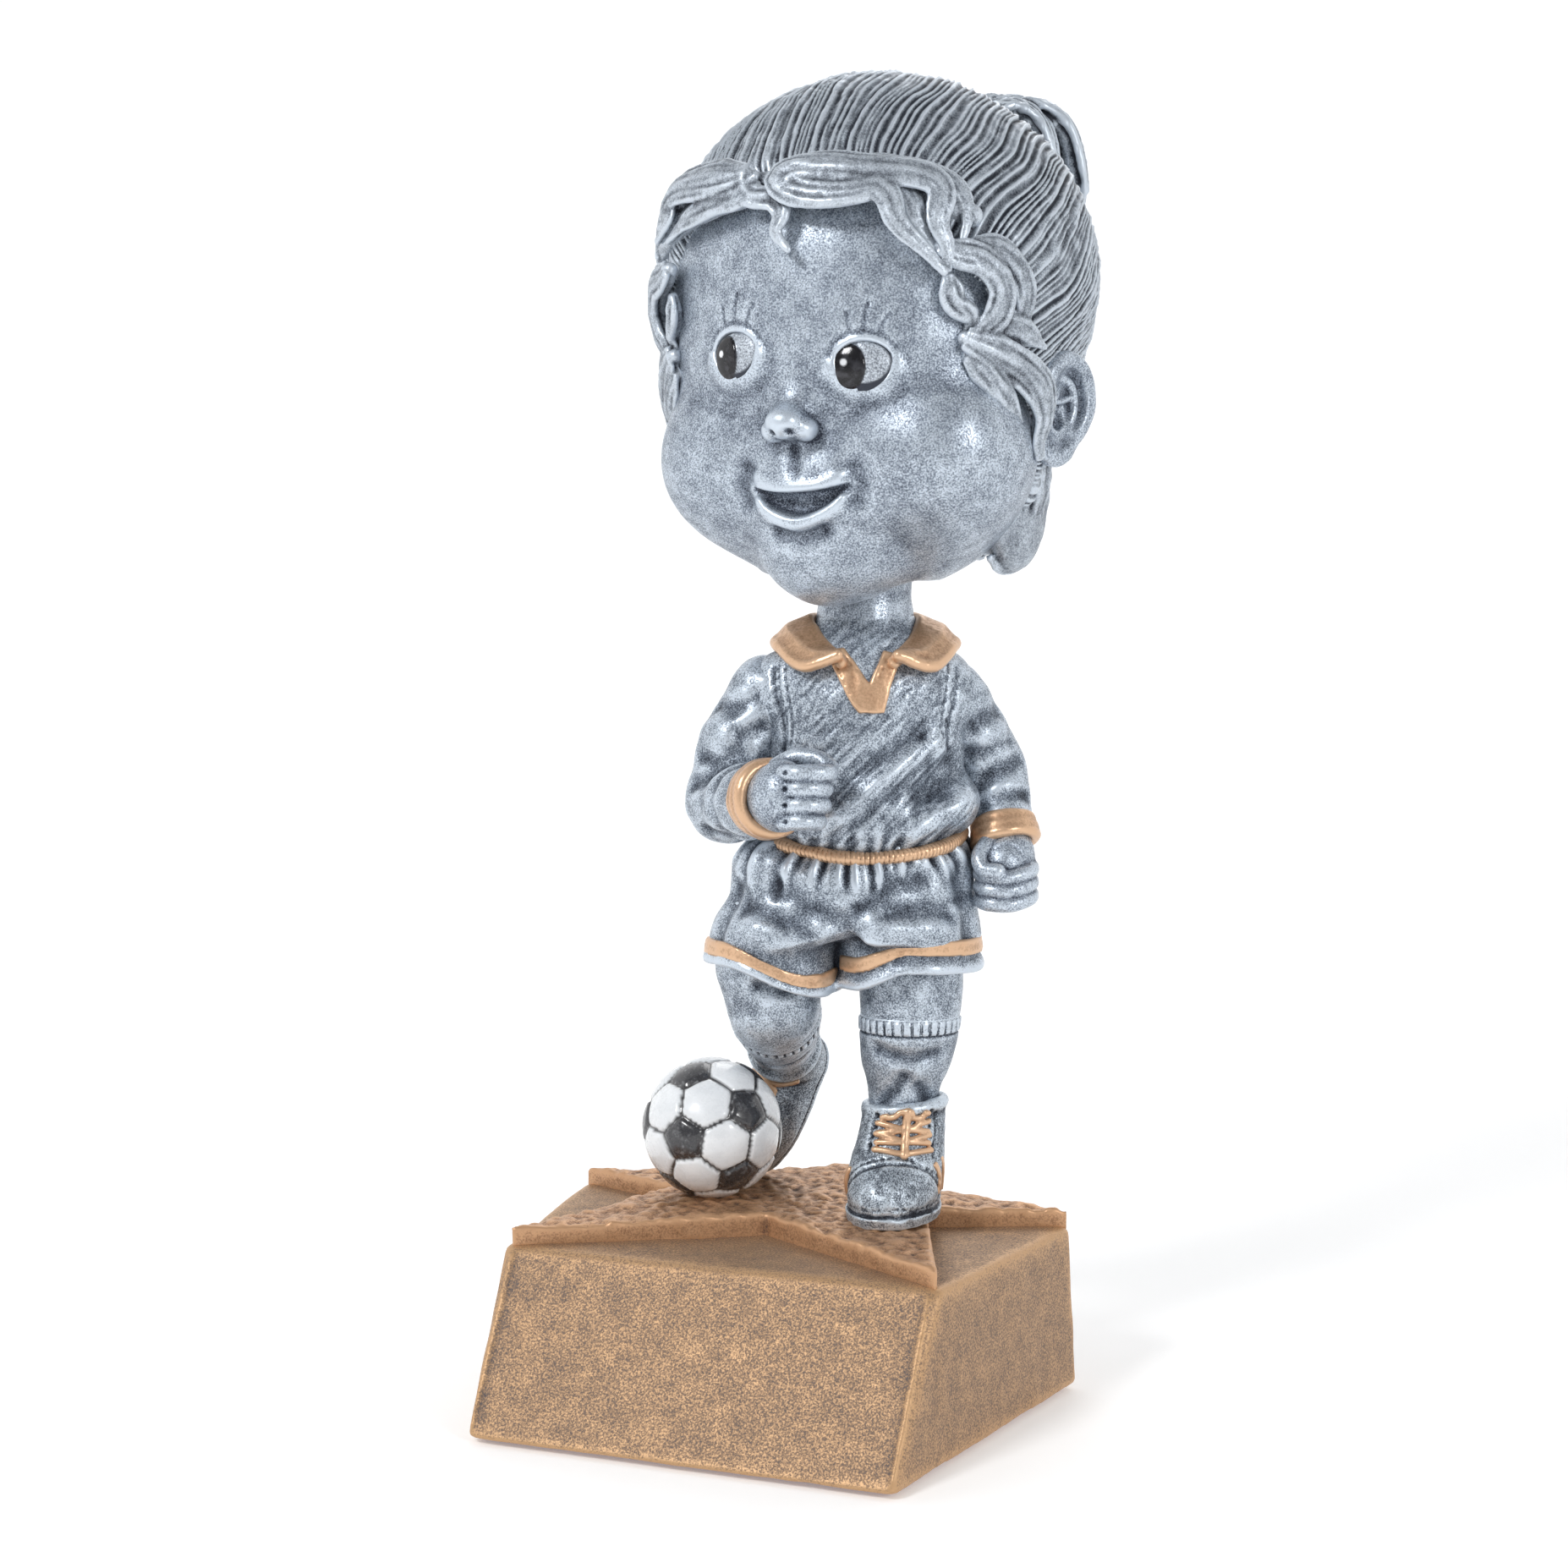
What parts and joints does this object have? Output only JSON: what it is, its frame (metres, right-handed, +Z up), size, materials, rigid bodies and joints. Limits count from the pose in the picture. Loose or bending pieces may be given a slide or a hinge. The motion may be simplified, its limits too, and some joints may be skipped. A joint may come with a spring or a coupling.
{
  "type": "figure trophy",
  "caption": "Bobblehead sports trophy: a resin girl football player beside a ball on a star plinth, her large head on a spring.",
  "frame": {"origin": "on the felt's underside, on the plinth's left-right mirror plane, midway along its two long sides", "axes": "+Z up; -Y is the plinth's slanted front face; +X is to the right when looking at that face"},
  "size_m": [0.0674, 0.0726, 0.1534],
  "materials": {
    "silver_resin": "satin",
    "bronze_resin": "satin",
    "rough_bronze": "matte",
    "gold_paint": "satin",
    "ball_paint": "gloss",
    "eye_gloss": "gloss",
    "felt": "matte",
    "steel": "satin",
    "spring_steel": "satin",
    "brass_fitting": "satin",
    "plug_wood": "matte"
  },
  "bodies": {
    "stand": {"felt_pad": "felt", "plinth": "bronze_resin", "star_relief": "rough_bronze", "soccer_ball": "ball_paint", "ball_pin": "steel", "left_foot_pin": "steel", "right_toe_pin": "steel", "left_shoe": "silver_resin", "right_shoe": "silver_resin", "left_sock": "silver_resin", "right_sock": "silver_resin", "left_leg": "silver_resin", "right_leg": "silver_resin", "shorts": "silver_resin", "waistband": "gold_paint", "jersey": "silver_resin", "placket": "gold_paint", "collar": "gold_paint", "left_sleeve": "silver_resin", "right_sleeve": "silver_resin", "left_cuff": "gold_paint", "right_cuff": "gold_paint", "left_hand": "silver_resin", "right_hand": "silver_resin", "neck": "silver_resin", "spring_cup": "brass_fitting"},
    "spring": {"bobble_spring": "spring_steel"},
    "cap": {"spring_cap": "brass_fitting"},
    "plug": {"head_plug": "plug_wood"},
    "bobble_head": {"head": "silver_resin", "hair": "silver_resin", "fringe": "silver_resin", "left_temple_curls": "silver_resin", "right_temple_curls": "silver_resin", "left_nape_curls": "silver_resin", "right_nape_curls": "silver_resin", "ponytail": "silver_resin", "left_ear": "silver_resin", "right_ear": "silver_resin", "left_eye": "eye_gloss", "right_eye": "eye_gloss"}
  },
  "joints": [
    {"name": "head_bounce", "type": "slide", "parent": "stand", "child": "spring", "axis": [0, 0, 1], "range_m": [-0.0005, 0.0015], "stiffness_N_per_m": 900, "springref_m": 0.0013, "deforming": ["bobble_spring"]},
    {"name": "head_nod", "type": "hinge", "parent": "spring", "child": "cap", "pos_m": [0.0097, 0.0111, 0.102], "axis": [0.9945, -0.1045, 0], "range_deg": [-7, 7], "stiffness_Nm_per_rad": 0.35, "springref_deg": 0.46},
    {"name": "head_sway", "type": "hinge", "parent": "cap", "child": "plug", "pos_m": [0.0097, 0.0111, 0.102], "axis": [0.1045, 0.9945, 0], "range_deg": [-7, 7], "stiffness_Nm_per_rad": 0.35},
    {"name": "head_twist", "type": "hinge", "parent": "plug", "child": "bobble_head", "pos_m": [0.0097, 0.0111, 0.102], "axis": [0, 0, 1], "range_deg": [-15, 15], "stiffness_Nm_per_rad": 0.12}
  ]
}
